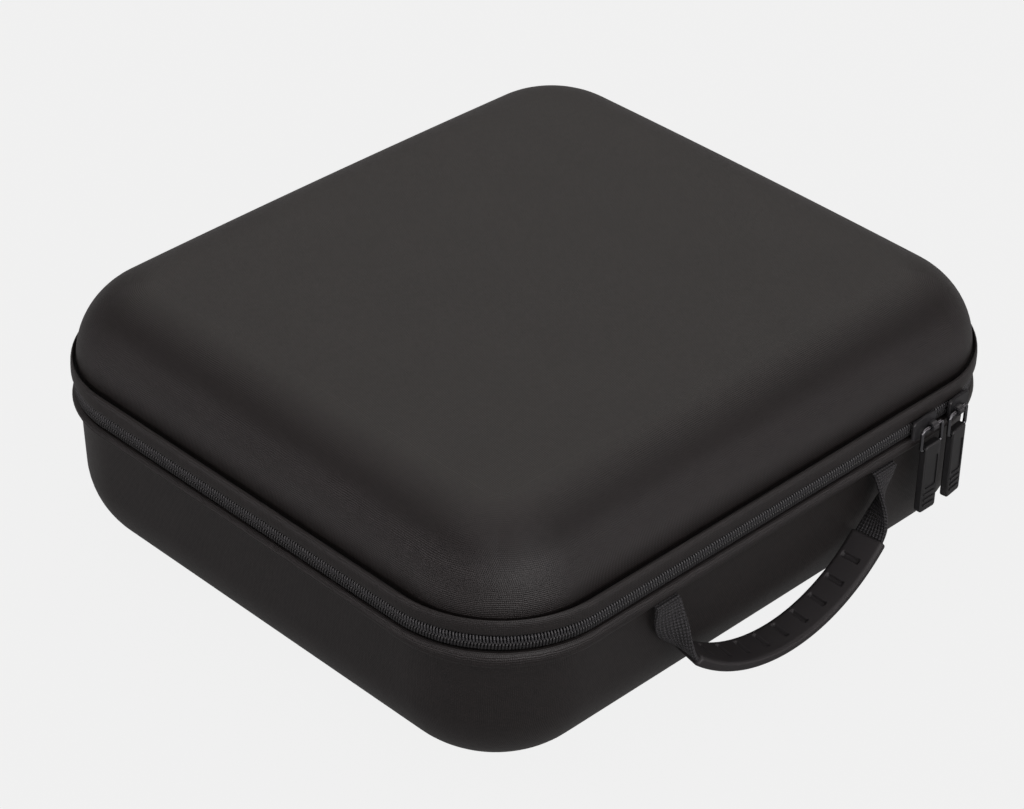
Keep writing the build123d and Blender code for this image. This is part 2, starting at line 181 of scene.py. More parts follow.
# %% White floor
floor_reach = 8.0
floor_below = 0.2 * MM
floor_glow, floor_mirrored = 0.86, 0.14
floor_mesh = bpy.data.meshes.new("floor")
floor_mesh.from_pydata(
    [(-floor_reach, -floor_reach, 0), (floor_reach, -floor_reach, 0), (floor_reach, floor_reach, 0),
     (-floor_reach, floor_reach, 0)], [], [(0, 1, 2, 3)])
floor = bpy.data.objects.new("floor", floor_mesh)
bpy.context.scene.collection.objects.link(floor)
floor.location.z = -floor_below

# Painted studio floor: matt and nearly white, so the eye goes to the case alone
white_floor, tree = new_material("white_studio_floor")
path = node(tree, "ShaderNodeLightPath")
mirrored = node(tree, "ShaderNodeMath", {0: path.outputs["Is Glossy Ray"], 1: floor_mirrored},
                operation="MULTIPLY")
seen = node(tree, "ShaderNodeMath", {0: path.outputs["Is Camera Ray"], 1: mirrored.outputs[0]},
            operation="MAXIMUM")
seen = node(tree, "ShaderNodeMath", {0: seen.outputs[0], 1: path.outputs["Is Transmission Ray"]},
            operation="MAXIMUM")
lit = node(tree, "ShaderNodeBsdfDiffuse", {"Color": linear("#747474")})
glow = node(tree, "ShaderNodeEmission", {"Color": linear("#ffffff"), "Strength": 1.0})
glow_share = node(tree, "ShaderNodeMath", {0: seen.outputs[0], 1: floor_glow}, operation="MULTIPLY")
mixed = node(tree, "ShaderNodeMixShader", {0: glow_share.outputs[0], 1: lit.outputs[0], 2: glow.outputs[0]})
finish_material(tree, mixed)
floor_mesh.materials.append(white_floor)
print(f"floor: {2 * floor_reach:.0f} m square")

# %% [markdown]
# ## Room
# Black cloth shows its shape less by its colour than by what it mirrors.  In the photograph the top
# is light, a dark line follows the bend of the lid, and the wall below is lighter again.  A room with
# three heights gives that: bright walls up to about 6 degrees, a dark belt from 15 to 34 degrees, and
# a bright ceiling from 41 degrees.  The walls are bright only on the near side, left and in front.
# A world's Generated coordinates are the direction of the ray, so its Z is the sine of that height.

# %% Room
wall_strength, ceiling_strength = 2.6, 0.6
world = bpy.data.worlds.new("studio")
world.use_nodes = True
tree = world.node_tree
tree.nodes.clear()
path = node(tree, "ShaderNodeLightPath")
seen = node(tree, "ShaderNodeMath",
            {0: path.outputs["Is Camera Ray"], 1: path.outputs["Is Transmission Ray"]}, operation="MAXIMUM")
sky = node(tree, "ShaderNodeTexCoord")
way = node(tree, "ShaderNodeSeparateXYZ", {0: sky.outputs["Generated"]})
walls = node(tree, "ShaderNodeMapRange", {
    "Value": way.outputs["Z"], "From Min": 0.10, "From Max": 0.26, "To Min": wall_strength, "To Max": 0.0})
across = node(tree, "ShaderNodeMath", {0: way.outputs["X"], 1: way.outputs["Y"]}, operation="ADD")
near_side = node(tree, "ShaderNodeMapRange", {
    "Value": across.outputs[0], "From Min": 0.0, "From Max": 0.6, "To Min": 1.0, "To Max": 0.1})
lit_walls = node(tree, "ShaderNodeMath", {0: walls.outputs[0], 1: near_side.outputs[0]},
                 operation="MULTIPLY")
ceiling = node(tree, "ShaderNodeMapRange", {
    "Value": way.outputs["Z"], "From Min": 0.56, "From Max": 0.66, "To Min": 0.0, "To Max": ceiling_strength})
room = node(tree, "ShaderNodeMath", {0: lit_walls.outputs[0], 1: ceiling.outputs[0]}, operation="ADD")
soft_fill = node(tree, "ShaderNodeBackground", {"Color": linear("#fff6f8"), "Strength": room.outputs[0]})
white_back = node(tree, "ShaderNodeBackground", {"Color": linear("#ffffff"), "Strength": 1.0})
mixed = node(tree, "ShaderNodeMixShader",
             {0: seen.outputs[0], 1: soft_fill.outputs[0], 2: white_back.outputs[0]})
node(tree, "ShaderNodeOutputWorld", {"Surface": mixed.outputs[0]})
bpy.context.scene.world = world
print("room:", len(tree.nodes), "nodes")

# %% [markdown]
# ## Lamps
# Two square softboxes are enough.  A large one, high behind the case, lights the top, and one in front
# lights the zip, the handle and the sliders.  Large lamps keep highlights and shadows soft.


# %% Lamps
def softbox(name, position, size, watts, colour):
    """A square area lamp that looks at the middle of the case."""
    data = bpy.data.lights.new(name, "AREA")
    data.size = size
    data.energy = watts
    data.color = linear(colour)[:3]
    lamp = bpy.data.objects.new(name, data)
    bpy.context.scene.collection.objects.link(lamp)
    lamp.location = position
    aim = Vector((0, 0, zip_height)) - lamp.location
    lamp.rotation_euler = aim.to_track_quat("-Z", "Y").to_euler()


softbox("overhead", (0.88, 0.80, 1.35), 2.2, 7.2, "#fffdf5")
softbox("front", (-0.5, -1.7, 0.85), 1.7, 11, "#ffffff")
print("lamps:", ", ".join(light.name for light in bpy.data.lights))

# %% [markdown]
# ## Woven polyester over moulded foam
# The outside is a black polyester cloth, hot-pressed with foam into a shell.  The press leaves the
# plain weave visible: two sets of threads that cross at right angles.  Two waves in the cloth's own
# flat coordinates, its UV map in metres, give that crossing.  Real threads are about 0.4 mm apart,
# too fine to show in the picture, so they are drawn 0.75 mm apart.  A cloud of lighter fibre gives
# the heathered look that the top has.  The press also irons the crests flat, so they shine a little.

# %% Woven polyester
thread_pitch = 0.75 * MM


def weave_height(tree, pitch, wander):
    """Height of a plain weave on the UV map, with threads that wander a little."""
    spot = node(tree, "ShaderNodeUVMap", uv_map="cloth")
    drift = node(tree, "ShaderNodeTexNoise",
                 {"Vector": spot.outputs[0], "Scale": 1 / (9 * MM), "Detail": 2.0})
    shift = node(tree, "ShaderNodeVectorMath", {0: drift.outputs["Color"], "Scale": wander},
                 operation="SCALE")
    moved = node(tree, "ShaderNodeVectorMath", {0: spot.outputs[0], 1: shift.outputs[0]}, operation="ADD")
    # A wave texture at scale 1 has 20 / tau bands to a unit
    bands = tau / (20 * pitch)
    threads = {"Vector": moved.outputs[0], "Scale": bands}
    warp = node(tree, "ShaderNodeTexWave", threads, bands_direction="X")
    weft = node(tree, "ShaderNodeTexWave", threads, bands_direction="Y")
    return node(tree, "ShaderNodeMath", {0: warp.outputs["Fac"], 1: weft.outputs["Fac"]}, operation="ADD")


def woven_cloth(name, dark, pale, pitch, relief, sheen, rough=0.86):
    """Woven cloth: heathered colour with painted shade in the weave's gaps, a raised weave, and crests that
    shine more than the gaps.
    """
    material, tree = new_material(name)
    weave = weave_height(tree, pitch, 1.5 * pitch)
    spot = node(tree, "ShaderNodeTexCoord")
    fibre = node(tree, "ShaderNodeTexNoise",
                 {"Vector": spot.outputs["Object"], "Scale": 1 / (2.2 * MM), "Detail": 4.0, "Roughness": 0.7})
    cloud = node(tree, "ShaderNodeTexNoise",
                 {"Vector": spot.outputs["Object"], "Scale": 1 / (30 * MM), "Detail": 4.0, "Roughness": 0.6})
    mottle = node(tree, "ShaderNodeMath", {0: cloud.outputs[0], 1: 0.35, 2: fibre.outputs[0]},
                  operation="MULTIPLY_ADD")
    # The colour follows random heather and the weave's height, so the gaps between threads get painted shade
    crest = node(tree, "ShaderNodeMath", {0: weave.outputs[0], 1: 0.30, 2: mottle.outputs[0]},
                 operation="MULTIPLY_ADD")
    share = node(tree, "ShaderNodeMapRange", {"Value": crest.outputs[0], "From Min": 0.45, "From Max": 1.55})
    tint = node(tree, "ShaderNodeMix", {0: share.outputs[0], 6: linear(dark), 7: linear(pale)},
                data_type="RGBA")
    gloss = node(tree, "ShaderNodeMapRange",
                 {"Value": share.outputs[0], "To Min": rough + 0.08, "To Max": rough - 0.08})
    bump = node(tree, "ShaderNodeBump",
                {"Height": weave.outputs[0], "Strength": relief, "Distance": 0.15 * MM})
    shader = node(tree, "ShaderNodeBsdfPrincipled", {
        "Base Color": tint.outputs[2], "Roughness": gloss.outputs[0], "Normal": bump.outputs[0],
        "Specular IOR Level": 0.45, "Sheen Weight": sheen, "Sheen Roughness": 0.5,
        "Sheen Tint": linear("#c9c4bf"),
    })
    finish_material(tree, shader)
    return material


# Pressed polyester: near black, a fine grid of threads, and a dull shine where the shell bends
shell_cloth = woven_cloth("woven_polyester_pressed", "#100e0e", "#272322", thread_pitch, 0.4, 0.04, 0.36)
# Brushed tricot: paler and matt, because its loose fibre scatters the light
lining_cloth = woven_cloth("brushed_tricot_lining", "#232324", "#3a3a3b", 0.7 * MM, 0.35, 0.2)
print("cloths:", shell_cloth.name, lining_cloth.name)

# %% [markdown]
# ## Rings and lofts
# Both shells, the lips, the tapes and the bindings follow the rim, so one ring of points serves them
# all: a rounded rectangle with the same count of points on each side and in each corner.  A shell is
# a stack of such rings joined by quads.

# %% Ring and loft helpers
side_steps = 44
corner_steps = 22
ring_count = 4 * (side_steps + corner_steps)


def ring(form, inset=0.0):
    """Points of a rounded rectangle (half width, half depth, corner) drawn in by an inset."""
    half_x, half_y, corner = (size - inset for size in form)
    points = []
    for quarter, (x_sign, y_sign) in enumerate(((1, -1), (1, 1), (-1, 1), (-1, -1))):
        centre = np.array((x_sign * (half_x - corner), y_sign * (half_y - corner)))
        start = -pi / 2 + quarter * pi / 2
        for step in range(corner_steps):
            angle = start + pi / 2 * step / corner_steps
            points.append(centre + corner * np.array((cos(angle), sin(angle))))
        first = centre + corner * np.array((cos(start + pi / 2), sin(start + pi / 2)))
        next_x, next_y = ((1, 1), (-1, 1), (-1, -1), (1, -1))[quarter]
        next_centre = np.array((next_x * (half_x - corner), next_y * (half_y - corner)))
        last = next_centre + corner * np.array((cos(start + pi / 2), sin(start + pi / 2)))
        for step in range(side_steps):
            points.append(first + (last - first) * step / side_steps)
    return np.array(points)


def lifted(points, heights):
    """Ring points at a height, or each at its own height."""
    return np.column_stack((points, np.broadcast_to(heights, len(points))))


def new_piece(name, points, faces, materials, indices=None, uvs=None):
    """Mesh object from points and faces, shaded smooth, with materials and a flat map of its cloth."""
    mesh = bpy.data.meshes.new(name)
    mesh.from_pydata([tuple(p) for p in points], [], faces)
    for material in materials:
        mesh.materials.append(material)
    if indices is not None:
        mesh.polygons.foreach_set("material_index", indices)
    if uvs is not None:
        mesh.uv_layers.new(name="cloth").data.foreach_set("uv", np.array(uvs, float).ravel())
    mesh.polygons.foreach_set("use_smooth", [True] * len(mesh.polygons))
    mesh.update()
    piece = bpy.data.objects.new(name, mesh)
    bpy.context.scene.collection.objects.link(piece)
    return piece


def run_lengths(points):
    """Length from the first point to each of the others, along their line."""
    steps = np.linalg.norm(np.diff(points, axis=0), axis=1)
    return np.concatenate(([0], np.cumsum(steps)))


def cloth_runs(points):
    """For each span of a ring, the run of both its ends from the middle of the side that it is on.
    Each side takes half of the corners beside it, so the threads keep their spacing everywhere."""
    runs = run_lengths(np.vstack((points, points[:1])))
    quarter = side_steps + corner_steps
    span = np.arange(len(points))
    side = (span - corner_steps // 2) // quarter
    middle = side * quarter + corner_steps + side_steps // 2
    middle_run = np.where(middle < 0, runs[middle % len(points)] - runs[-1], runs[middle % len(points)])
    return runs[:-1] - middle_run, runs[1:] - middle_run


def loft(name, rings, materials, second_from=None, flat_from=None, flat_to=0, third=()):
    """Skin over a stack of rings, closed at both ends.  Spans from second_from on take the second
    material, those in third the third, and those outside flat_to to flat_from are mapped flat."""
    count = len(rings[0])
    along = run_lengths(np.array([points[0] for points in rings]))
    runs = [cloth_runs(points[:, :2]) for points in rings]
    faces, indices, uvs = [], [], []
    for level in range(len(rings) - 1):
        low, high = level * count, (level + 1) * count
        flat = level < flat_to or (flat_from is not None and level >= flat_from)
        here, above = rings[level], rings[level + 1]
        for i in range(count):
            j = (i + 1) % count
            faces.append((low + i, low + j, high + j, high + i))
            indices.append(2 if level in third else int(second_from is not None and level >= second_from))
            if flat:
                uvs += [here[i, :2], here[j, :2], above[j, :2], above[i, :2]]
            else:
                uvs += [(runs[level][0][i], along[level]), (runs[level][1][i], along[level]),
                        (runs[level + 1][1][i], along[level + 1]), (runs[level + 1][0][i], along[level + 1])]
    last = len(rings) - 1
    faces += [tuple(range(count - 1, -1, -1)), tuple(range(last * count, (last + 1) * count))]
    indices += [0, indices[-1]]
    uvs += [rings[0][i, :2] for i in range(count - 1, -1, -1)] + [point[:2] for point in rings[last]]
    return new_piece(name, np.concatenate(rings), faces, materials, indices, uvs)


rim_line = ring(rim_form)
print("a ring has", ring_count, "points")

# %% [markdown]
# ## Lid's body
# The lid is pressed in one piece: a flat top with a very slight crown, a wide soft round-over and
# short straight walls.  A subdivided box would do, but rings keep the radii of the CAD model exactly,
# and the same function gives the outer and the inner skin.


# %% Rings of the lid's body
def lid_skin(inset, start_height, turns, shrinks):
    """Rings of the lid's body, inset from its outer skin: wall, round-over and crowned top."""
    edge = lid_edge_round - inset
    top = lid_top - inset
    rings = []

    def crown(points):
        return (points ** 2).sum(axis=1) / (2 * crown_radius)

    foot = ring(lid_form, inset)
    bend_from = top - edge - crown(foot)
    for share in np.linspace(0, 1, 5)[:-1]:
        rings.append(lifted(foot, start_height + (bend_from - start_height) * share))
    for step in range(turns + 1):
        angle = pi / 2 * step / turns
        points = ring(lid_form, inset + edge * (1 - cos(angle)))
        rings.append(lifted(points, top - crown(points) - edge * (1 - sin(angle))))
    rim_of_top = ring(lid_form, inset + edge)
    for share in np.linspace(1, 0, shrinks + 1)[1:-1]:
        points = rim_of_top * share
        rings.append(lifted(points, top - crown(points)))
    return rings


print(f"lid: {1000 * (lid_top - lid_lip_foot):.0f} mm high, edge radius {1000 * lid_edge_round:.0f} mm")

# %% [markdown]
# ## Lid's lip
# Below the wall the cloth runs through a tight crease and rolls out to the rim, where the zip is sewn
# on.  The lip's rings lie between the rim and the foot of the wall, so the lip narrows by itself where
# the corners come closer together.

# %% Rings of the lid's lip
lip_height = 6.4 * MM
lip_top = lid_lip_foot + lip_height
crease = lip_top - 2.5 * MM
lid_line = ring(lid_form)


def between(share):
    """Ring that lies a share of the way from the rim to the foot of the lid's wall."""
    return rim_line + (lid_line - rim_line) * share


rolled_lip = [
    lifted(ring(rim_form, 1.0 * MM), lid_lip_foot),
    lifted(ring(rim_form, 0.3 * MM), lid_lip_foot + 0.3 * MM),
    lifted(ring(rim_form, 0.0), lid_lip_foot + 1.0 * MM),
]
lip_belly = lid_lip_foot + 2.4 * MM
lip_crest = lip_top + 0.4 * MM
lip_share = 0.66
for step in range(0, 13):
    angle = pi * 0.94 * step / 12
    share = lip_share * (1 - cos(angle)) / 2
    rolled_lip.append(lifted(between(share), lip_belly + (lip_crest - lip_belly) * sin(angle) ** 0.8))
# From here on the lip's rings form the crease, whose faces take a painted shade
shaded_crease_from = len(rolled_lip) - 2
rolled_lip.append(lifted(between(0.72), crease + 0.2 * MM))
rolled_lip.append(lifted(between(0.80), crease))
rolled_lip.append(lifted(between(0.98), crease))
print(f"lip: {len(rolled_lip)} rings, crest at {1000 * lip_crest:.1f} mm")

# %% [markdown]
# ## Lid shell
# Outside and inside are one closed skin, as the laminate is: cloth outside, lining inside, and in the
# crease a near-black cloth that paints the shade of the groove.  One loft over all rings keeps it watertight.

# %% Lid shell
lid_outer = lid_skin(0.0, crease + 0.5 * MM, 20, 14)
lid_inner = lid_skin(wall, lip_top, 12, 8)
flange_foot = lip_top - 3.0 * MM
lid_inside = [
    lifted(ring(rim_form, lip_wall), lid_lip_foot),
    lifted(ring(rim_form, lip_wall), flange_foot),
    lifted(ring(lid_form, wall - 0.8 * MM), flange_foot),
    lifted(ring(lid_form, wall), flange_foot + 0.8 * MM),
]
inside_rings = lid_inside + lid_inner
outside_rings = rolled_lip + lid_outer
stack = inside_rings[::-1] + outside_rings
shaded_crease_spans = range(len(inside_rings) + shaded_crease_from, len(inside_rings) + len(rolled_lip))
# Painted shade: a near-black cloth on the crease's faces stands for the shadow in the groove
crease_shade_cloth = woven_cloth("painted_crease_shade", "#050505", "#0d0d0d", 0.8 * MM, 0.5, 0.0)
lid_piece = loft("lid_shell_cloth", stack, [lining_cloth, shell_cloth, crease_shade_cloth],
                 second_from=len(inside_rings) - 1, flat_to=7, flat_from=len(stack) - 14, third=shaded_crease_spans)
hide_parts("lid_shell")
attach(lid_piece, "lid")
print("lid:", len(lid_piece.data.polygons), "faces")

# %% [markdown]
# ## Band of the base
# Under the zip the base has a band, and a small step leads in to the wall.  On the real case the band
# seems trimmed by hand, as its lower edge isn't level: it is deepest at the near corner and shallow along
# the left side.  Each point of a ring may have its own height, which is all that this needs.

# %% Rings of the base's band
band_height = 6.0 * MM
base_line = ring(base_form)


def band_depth(points):
    """Depth of the band under the zip: deeper at the front left corner, shallower on the left side."""
    near = np.exp(-((points[:, 0] + half_width) ** 2 + (points[:, 1] + half_depth) ** 2) / (60 * MM) ** 2)
    left = np.exp(-((points[:, 0] + half_width) / (20 * MM)) ** 2) * (1 - near)
    ripple = np.sin(points[:, 0] / (23 * MM)) * np.cos(points[:, 1] / (31 * MM))
    return band_height * (0.92 + 0.28 * near - 0.28 * left + 0.04 * ripple)


def step_in(share):
    """Ring that lies a share of the way from the rim to the top of the base's wall."""
    return rim_line + (base_line - rim_line) * share


band_foot = base_lip_top - band_depth(rim_line)
base_outside = [
    lifted(ring(rim_form, 2.0 * MM), base_lip_top),
    lifted(ring(rim_form, 1.2 * MM), base_lip_top - 0.3 * MM),
    lifted(ring(rim_form, 0.7 * MM), base_lip_top - 1.0 * MM),
    lifted(ring(rim_form, 0.3 * MM), (2 * base_lip_top + band_foot) / 3),
    lifted(step_in(0.0), (base_lip_top + 2 * band_foot) / 3),
    lifted(step_in(0.06), band_foot + 0.9 * MM),
    lifted(step_in(0.26), band_foot + 0.25 * MM),
    lifted(step_in(0.62), band_foot),
    lifted(step_in(0.90), band_foot - 0.25 * MM),
    lifted(step_in(1.0), band_foot - 0.9 * MM),
]
print(f"band: {1000 * band_depth(rim_line).min():.1f} to {1000 * band_depth(rim_line).max():.1f} mm deep")

# %% [markdown]
# ## Base shell
# The base is the deeper half: walls that draw in a little, so that it leaves its mould, and a large
# round at the bottom.  It is made as the lid is, as one closed skin of cloth and lining.


# %% Base shell
def base_skin(inset, start_height, turns, shrinks):
    """Rings of the base's body, inset from its outer skin: drafted wall, round-over and flat bottom."""
    edge = base_edge_round - inset
    wall_top = base_lip_top - 3.0 * MM
    rings = []
    bend = edge * (1 - sin(base_draft))
    for share in np.linspace(0, 1, 5)[:-1]:
        heights = start_height + (bend + inset - start_height) * share
        draw_in = np.mean(wall_top - heights) * np.tan(base_draft)
        rings.append(lifted(ring(base_form, inset + max(draw_in, 0)), heights))
    foot_in = (wall_top - bend - inset) * np.tan(base_draft)
    for step in range(turns + 1):
        angle = base_draft + (pi / 2 - base_draft) * step / turns
        turn_in = edge * (cos(base_draft) - cos(angle))
        rings.append(lifted(ring(base_form, inset + foot_in + turn_in), inset + edge * (1 - sin(angle))))
    flat = rings[-1][:, :2]
    for share in np.linspace(1, 0, shrinks + 1)[1:-1]:
        rings.append(lifted(flat * share, inset))
    return rings


base_outer = base_skin(0.0, band_foot - 2.4 * MM, 20, 8)
base_flange_top = base_lip_top - 3.0 * MM
base_inside = [
    lifted(ring(rim_form, lip_wall), base_lip_top),
    lifted(ring(rim_form, lip_wall), base_flange_top),
    lifted(ring(base_form, wall - 0.8 * MM), base_flange_top),
    lifted(ring(base_form, wall), base_flange_top - 0.8 * MM),
]
inside_rings = base_inside + base_skin(wall, base_flange_top - 2.0 * MM, 12, 6)
stack = inside_rings[::-1] + base_outside + base_outer
base_piece = loft("base_shell_cloth", stack, [lining_cloth, shell_cloth],
                  second_from=len(inside_rings) - 1, flat_to=5, flat_from=len(stack) - 8)
base_piece.data.flip_normals()
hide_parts("base_shell")
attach(base_piece, "base")
print("base:", len(base_piece.data.polygons), "faces")

# %% [markdown]
# ## A walk round the rim
# The zip, its tapes and the bindings are narrow strips that follow the rim.  Each is a cross-section
# carried along the rim.  A place on the walk is a point and the way out from there, and the walk is
# counted from the middle of the front, to the right as plus and to the left as minus.

# %% Walk round the rim
rim_corner = rim_form[2]
front_half = half_width - rim_corner
side_length = 2 * (half_depth - rim_corner)
corner_run = rim_corner * pi / 2
walk_half = 2 * front_half + 2 * corner_run + side_length


def rim_place(run):
    """Point on the rim's face and the direction outwards, at a run from the middle of the front."""
    mirror = np.array((1 if run >= 0 else -1, 1))
    rest = abs(run)
    if rest <= front_half:
        return mirror * (rest, -half_depth), np.array((0.0, -1.0))
    rest -= front_half
    if rest <= corner_run:
        out = np.array((sin(rest / rim_corner), -cos(rest / rim_corner)))
        return mirror * (np.array((front_half, -side_length / 2)) + rim_corner * out), mirror * out
    rest -= corner_run
    if rest <= side_length:
        return mirror * (half_width, rest - side_length / 2), mirror * (1.0, 0.0)
    rest -= side_length
    if rest <= corner_run:
        out = np.array((cos(rest / rim_corner), sin(rest / rim_corner)))
        return mirror * (np.array((front_half, side_length / 2)) + rim_corner * out), mirror * out
    return mirror * (front_half - (rest - corner_run), half_depth), np.array((0.0, 1.0))


print(f"half the walk is {1000 * walk_half:.0f} mm")

# %% [markdown]
# ## Sweeps
# A strip is a skin over sections that follow each other.  Its flat map is length by girth, in metres,
# so a weave keeps its spacing along the strip.


# %% Sweep helpers
def skin(name, sections, materials, closed=False):
    """Skin over cross-sections that follow each other; its flat map is length by girth."""
    count = len(sections[0])
    along = run_lengths(np.array([section.mean(axis=0) for section in sections]))
    girth = run_lengths(np.vstack((sections[0], sections[0][:1])))
    faces, uvs = [], []
    for level in range(len(sections) if closed else len(sections) - 1):
        low, high = level * count, (level + 1) % len(sections) * count
        start = along[level]
        stop = along[level + 1] if level + 1 < len(sections) else start + along[1]
        for i in range(count):
            j = (i + 1) % count
            faces.append((low + i, low + j, high + j, high + i))
            uvs += [(start, girth[i]), (start, girth[i + 1]), (stop, girth[i + 1]), (stop, girth[i])]
    if not closed:
        last = (len(sections) - 1) * count
        faces += [tuple(range(count - 1, -1, -1)), tuple(range(last, last + count))]
        uvs += [(0, girth[i]) for i in range(count - 1, -1, -1)]
        uvs += [(along[-1], girth[i]) for i in range(count)]
    return new_piece(name, np.concatenate(sections), faces, materials, uvs=uvs)


def strip(name, places, section, materials, closed=False):
    """Sweeps a section, (depth behind the rim's face, height from the zip) points, along places."""
    sections = []
    for point, out in places:
        sections.append(np.array([
            (*(point - out * depth), zip_height + height) for depth, height in section]))
    return skin(name, sections, materials, closed)


def pad_section(depth_a, depth_b, low, high, bulge):
    """Section of a narrow woven strip, thicker in the middle than at its edges."""
    rows = np.linspace(0, 1, 9)
    front = [(depth_a - bulge * sin(pi * row), low + (high - low) * row) for row in rows]
    back = [(depth_b, low + (high - low) * row) for row in rows[::-1]]
    return front + back


print("sweep helpers ready")

# %% [markdown]
# ## Zip tapes
# The tape is a tight twill, about 0.6 mm between ridges.  It shows as two dark lines beside the coil.
# A flat strip along the walk is enough, because the lips hide its edges.

# %% Zip tapes
# Polyester twill: very dark and matt, so the coil stands out on it
twill_tape = woven_cloth("polyester_twill_tape", "#0b0b0c", "#1a1a1b", 0.6 * MM, 0.5, 0.05)

hinge_low, hinge_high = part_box("hinge_tape")
tape_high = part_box("lid_zip_tape")[1]
tape_face = half_depth - tape_high.y
tape_back = half_depth - hinge_low.y
tape_reach = walk_half - hinge_high.x - 0.5 * MM
tape_runs = np.linspace(-tape_reach, tape_reach, 420)
tape_places = [rim_place(run) for run in tape_runs]
tape_inner = coil_high[0].z - zip_height
tape_outer = tape_high.z - zip_height
for body, sign in (("lid", 1), ("base", -1)):
    heights = sorted((sign * tape_inner, sign * tape_outer))
    section = pad_section(tape_face, tape_back, *heights, 0.0)
    piece = strip(f"{body}_zip_tape_twill", tape_places, section, [twill_tape])
    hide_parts(f"{body}_zip_tape")
    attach(piece, body)
print(f"tapes: {2000 * tape_reach:.0f} mm long each")

# %% [markdown]
# ## Seam bindings
# Inside, a knitted binding covers the raw edges of cloth and tape, all the way round.  It is folded
# over the seam, so its inner face bulges a little.

# %% Seam bindings
# Knitted polyester: coarse loops, a little paler and softer than the twill
knit_binding = woven_cloth("knitted_polyester_binding", "#1b1b1c", "#343435", 1.0 * MM, 0.8, 0.15)

binding_low, binding_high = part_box("lid_seam_binding")
binding_thickness, binding_bulge = 0.7 * MM, 0.3 * MM
binding_face = half_depth - binding_high.y
binding_runs = np.linspace(-walk_half, walk_half, 480, endpoint=False)
binding_places = [rim_place(run) for run in binding_runs]
for body, sign in (("lid", 1), ("base", -1)):
    heights = sorted((sign * (binding_low.z - zip_height), sign * (binding_high.z - zip_height)))
    section = pad_section(binding_face, binding_face + binding_thickness, *heights, 0.0)
    section = [(depth + binding_bulge * sin(pi * i / 8) * (i > 8), height)
               for i, (depth, height) in enumerate(section)]
    piece = strip(f"{body}_seam_binding_knit", binding_places, section, [knit_binding], closed=True)
    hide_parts(f"{body}_seam_binding")
    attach(piece, body)
print("bindings:", len(binding_places), "places each")

# %% [markdown]
# ## Hinge gusset
# At the back the zip stops, and a strip of the same tape joins the shells.  It bends when the lid
# opens, but here it is a straight strip of 25 rows of points, attached to neither body.

# %% Hinge gusset
hinge_places = [(np.array((x, half_depth)), np.array((0.0, 1.0)))
                for x in np.linspace(hinge_high.x, hinge_low.x, 80)]
rows = np.linspace(hinge_low.z - zip_height, hinge_high.z - zip_height, 25)
gusset = [(tape_face, row) for row in rows] + [(tape_back, row) for row in rows[::-1]]
hinge_piece = strip("hinge_gusset_twill", hinge_places, gusset, [twill_tape])
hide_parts("hinge_tape")
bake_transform(hinge_piece)
print("gusset:", len(hinge_piece.data.polygons), "faces")

# %% [markdown]
# ## Smooth hard surfaces
# Moulded, enamelled and plated pieces share one recipe: an even colour, a fine grain that breaks up
# the highlight, a gloss that varies a little, and paler sharp edges, which are partly rubbed wear and
# partly a painted highlight where edges catch the light.  Pointiness is high on sharp edges, so it finds
# those.


# %% Recipe for smooth surfaces
def moulded(name, colour, rough, grain, relief, coat=0.0, wear_and_highlight=None, metallic=0.0):
    """Moulded, painted or plated surface: one colour, fine grain, and a roughness that varies."""
    material, tree = new_material(name)
    spot = node(tree, "ShaderNodeTexCoord")
    fine = node(tree, "ShaderNodeTexNoise",
                {"Vector": spot.outputs["Object"], "Scale": 1 / grain, "Detail": 3.0})
    broad = node(tree, "ShaderNodeTexNoise",
                 {"Vector": spot.outputs["Object"], "Scale": 1 / (14 * grain), "Detail": 2.0})
    gloss = node(tree, "ShaderNodeMapRange",
                 {"Value": broad.outputs[0], "To Min": rough - 0.06, "To Max": rough + 0.08})
    # Sharp edges turn paler: partly rubbed wear, partly a painted highlight
    edge = node(tree, "ShaderNodeNewGeometry")
    ridge = node(tree, "ShaderNodeMapRange",
                 {"Value": edge.outputs["Pointiness"], "From Min": 0.52, "From Max": 0.62})
    tint = node(tree, "ShaderNodeMix", {0: ridge.outputs[0], 6: linear(colour), 7: linear(wear_and_highlight or colour)},
                data_type="RGBA")
    bump = node(tree, "ShaderNodeBump",
                {"Height": fine.outputs[0], "Strength": relief, "Distance": 0.05 * MM})
    shader = node(tree, "ShaderNodeBsdfPrincipled", {
        "Base Color": tint.outputs[2], "Roughness": gloss.outputs[0], "Normal": bump.outputs[0],
        "Coat Weight": coat, "Coat Roughness": 0.12, "Metallic": metallic,
    })
    finish_material(tree, shader)
    return material


print("recipe ready")

# %% [markdown]
# ## Coil
# A nylon zip has no separate teeth: each row is one thread of nylon wound into a flat coil, and what
# the eye takes for a tooth is one turn of it.  A turn is a slanted, arched bar that is thicker at the
# head, where it hooks between two turns of the other row.  The turns are 1.27 mm apart.  A bump could
# fake them, but they catch the light one by one, so each is real geometry.

# %% One turn of the coil
# Extruded nylon: smooth, with a small bright highlight on every turn, partly gloss, partly painted on its
# edges
nylon = moulded("extruded_nylon_coil", "#2b2b2c", 0.3, 0.8 * MM, 0.15, wear_and_highlight="#48484a")
turn_pitch = 1.27 * MM
turn_half = 0.5 * MM
coil_face = half_depth - coil_high[1].y
coil_outer = coil_high[1].z - zip_height
head_past = 0.35 * MM
bar_stations = 7
bar_sides = 6


